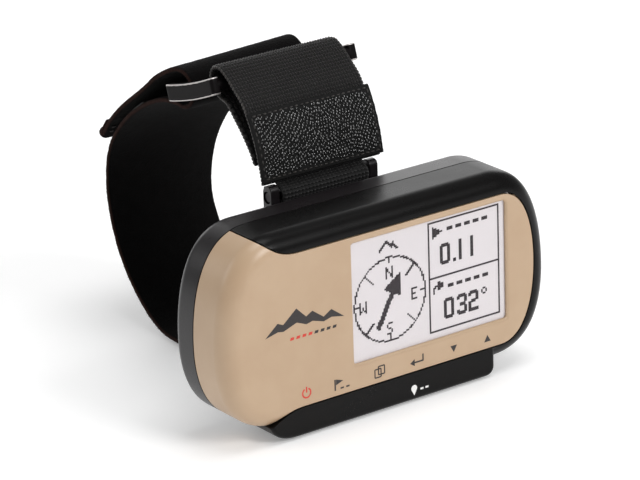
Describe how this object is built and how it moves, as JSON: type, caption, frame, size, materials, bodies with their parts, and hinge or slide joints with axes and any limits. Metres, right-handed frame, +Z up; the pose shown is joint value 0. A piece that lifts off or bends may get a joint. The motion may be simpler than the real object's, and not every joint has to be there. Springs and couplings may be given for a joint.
{
  "type": "wrist-worn gps receiver",
  "caption": "Wrist-worn GPS receiver with a wide display, a key bar along its foot, a screwed battery door and a webbing wrist strap closed through a ring.",
  "frame": {"origin": "on the underside of the key bar, midway between the case's sides, where the unit stands", "axes": "+X to the right of the display, +Y from the face to the back, +Z up"},
  "size_m": [0.0828, 0.0866, 0.0678],
  "materials": {
    "pale_shell": "satin tan moulding",
    "dark_rubber": "smooth satin black rubber",
    "dark_shell": "fine-grained dark grey moulding",
    "key_rubber": "matte black rubber",
    "clear_window": "clear polished window",
    "lcd": "pale reflective display",
    "white_moulding": "plain white moulding",
    "circuit_board": "green solder resist",
    "ceramic_antenna": "fired ceramic with a metal face",
    "tin_plate": "tin-plated sheet",
    "screw_steel": "bright turned steel",
    "black_metal": "black-plated and polished, rubbed at the edges",
    "seal_rubber": "soft orange-brown sealing cord",
    "cell_wrap": "printed foil wrap",
    "black_webbing": "black woven webbing",
    "black_pile": "black brushed loop pile",
    "hook_tape": "black hook tape",
    "patch_hide": "grained glossy black hide, stitched round its edge"
  },
  "bodies": {
    "case": {"front_case": "pale_shell", "bumper": "dark_rubber", "rear_case": "dark_shell", "window_lens": "clear_window", "lcd_panel": "lcd", "light_guide": "white_moulding", "display_tray": "white_moulding", "switch_strip": "circuit_board", "main_board": "circuit_board", "patch_antenna": "ceramic_antenna", "shield_can": "tin_plate", "case_seal": "seal_rubber", "cell_upper": "cell_wrap", "cell_lower": "cell_wrap", "contact_left": "tin_plate", "contact_right": "tin_plate", "strap_pin_upper": "screw_steel", "strap_pin_lower": "screw_steel", "upper_tab": "black_webbing", "lower_tab": "black_webbing", "short_strap": "black_webbing", "strap_patch": "patch_hide", "long_strap": "black_pile", "hook_tape": "hook_tape", "case_screw_1": "screw_steel", "case_screw_2": "screw_steel", "case_screw_3": "screw_steel", "case_screw_4": "screw_steel"},
    "door": {"battery_door": "dark_shell", "door_seal": "seal_rubber"},
    "door_screw": {"door_screw": "screw_steel"},
    "ring": {"strap_ring": "black_metal"},
    "key_power": {"key_power": "key_rubber"},
    "key_goto": {"key_goto": "key_rubber"},
    "key_page": {"key_page": "key_rubber"},
    "key_enter": {"key_enter": "key_rubber"},
    "key_down": {"key_down": "key_rubber"},
    "key_up": {"key_up": "key_rubber"}
  },
  "joints": [
    {"name": "key_power_press", "type": "slide", "parent": "case", "child": "key_power", "axis": [0, 0, 1], "range_m": [0, 0.0006], "stiffness_N_per_m": 1500, "springref_m": -0.0003},
    {"name": "key_goto_press", "type": "slide", "parent": "case", "child": "key_goto", "axis": [0, 0, 1], "range_m": [0, 0.0006], "stiffness_N_per_m": 1500, "springref_m": -0.0003},
    {"name": "key_page_press", "type": "slide", "parent": "case", "child": "key_page", "axis": [0, 0, 1], "range_m": [0, 0.0006], "stiffness_N_per_m": 1500, "springref_m": -0.0003},
    {"name": "key_enter_press", "type": "slide", "parent": "case", "child": "key_enter", "axis": [0, 0, 1], "range_m": [0, 0.0006], "stiffness_N_per_m": 1500, "springref_m": -0.0003},
    {"name": "key_down_press", "type": "slide", "parent": "case", "child": "key_down", "axis": [0, 0, 1], "range_m": [0, 0.0006], "stiffness_N_per_m": 1500, "springref_m": -0.0003},
    {"name": "key_up_press", "type": "slide", "parent": "case", "child": "key_up", "axis": [0, 0, 1], "range_m": [0, 0.0006], "stiffness_N_per_m": 1500, "springref_m": -0.0003},
    {"name": "door_lift", "type": "slide", "parent": "case", "child": "door", "axis": [0, 1, 0], "range_m": [0, 0.014]},
    {"name": "door_screw_turn", "type": "hinge", "parent": "door", "child": "door_screw", "pos_m": [0.02845, 0.019, 0.0234], "axis": [0, 1, 0], "range_deg": [0, 90]},
    {"name": "ring_swing", "type": "hinge", "parent": "case", "child": "ring", "pos_m": [0, 0.0324, 0.0639], "axis": [1, 0, 0], "range_deg": [-2, 2]}
  ]
}
